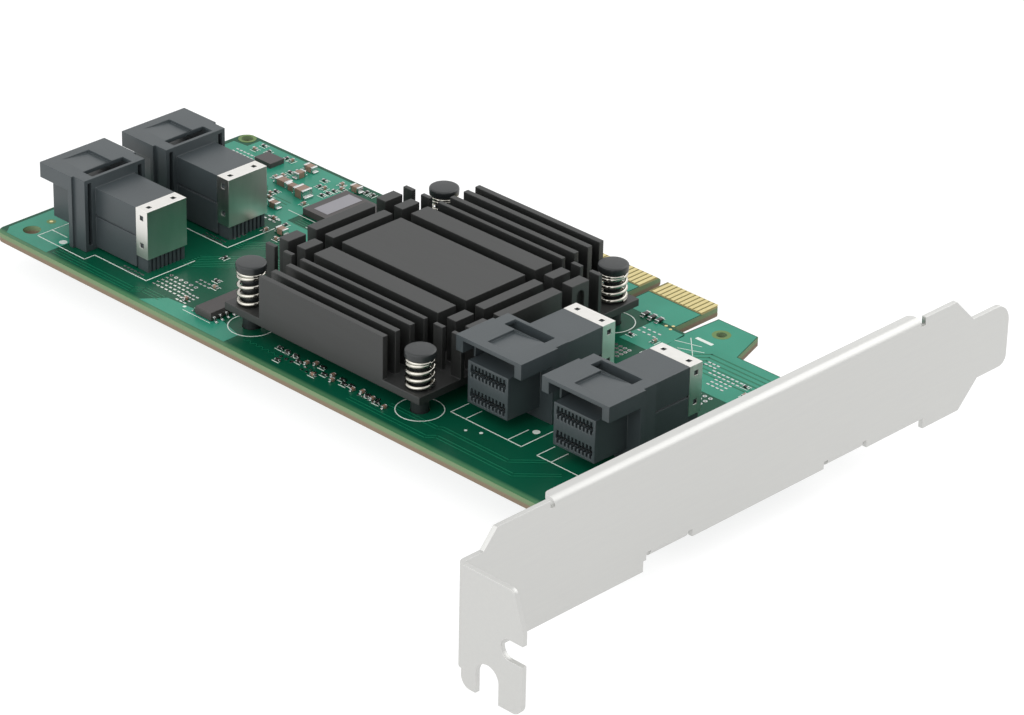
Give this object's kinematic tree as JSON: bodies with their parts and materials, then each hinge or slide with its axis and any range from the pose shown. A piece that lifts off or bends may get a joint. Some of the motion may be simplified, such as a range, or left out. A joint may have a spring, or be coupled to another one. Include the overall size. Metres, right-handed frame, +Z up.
{
  "type": "storage adapter card",
  "caption": "Storage adapter card with a finned heatsink on push pins, cable receptacles, an edge connector tongue and a full-height mounting bracket.",
  "frame": {"origin": "on the bracket's outer face, at the board's front long edge and its component side", "axes": "+X out of the bracket, +Y from the front long edge to the edge contacts, +Z up from the component side"},
  "size_m": [0.1561, 0.12, 0.0224],
  "materials": {
    "board": "glossy solder mask over glass-fibre laminate",
    "gold": "gold plated",
    "plated_steel": "satin plated sheet steel",
    "dark_aluminium": "dark anodised",
    "chip_plastic": "matt moulded",
    "thermal_pad": "soft pad",
    "ceramic": "fired ceramic with tinned ends",
    "black_plastic": "moulded, slightly glossy",
    "spring_steel": "bright spring wire",
    "bright_steel": "bright plated sheet"
  },
  "bodies": {
    "root": {"circuit_board": "board", "edge_contacts_top": "gold", "edge_contacts_bottom": "gold", "mounting_bracket": "plated_steel", "bracket_screw_front": "plated_steel", "bracket_screw_rear": "plated_steel", "heatsink": "dark_aluminium", "switch_chip": "chip_plastic", "thermal_pad": "thermal_pad", "controller_chip": "chip_plastic", "leaded_chip": "chip_plastic", "flat_chip": "chip_plastic", "inductor": "ceramic", "capacitors_rear": "ceramic", "capacitors_left": "ceramic", "resistors_right": "ceramic", "push_pin_front_left": "black_plastic", "pin_spring_front_left": "spring_steel", "push_pin_front_right": "black_plastic", "pin_spring_front_right": "spring_steel", "push_pin_rear_left": "black_plastic", "pin_spring_rear_left": "spring_steel", "push_pin_rear_right": "black_plastic", "pin_spring_rear_right": "spring_steel", "receptacle_housing_a": "black_plastic", "receptacle_cover_a": "bright_steel", "receptacle_wafers_a": "black_plastic", "receptacle_contacts_a": "bright_steel", "receptacle_housing_b": "black_plastic", "receptacle_cover_b": "bright_steel", "receptacle_wafers_b": "black_plastic", "receptacle_contacts_b": "bright_steel", "receptacle_housing_c": "black_plastic", "receptacle_cover_c": "bright_steel", "receptacle_wafers_c": "black_plastic", "receptacle_contacts_c": "bright_steel", "receptacle_housing_d": "black_plastic", "receptacle_cover_d": "bright_steel", "receptacle_wafers_d": "black_plastic", "receptacle_contacts_d": "bright_steel"}
  },
  "joints": []
}
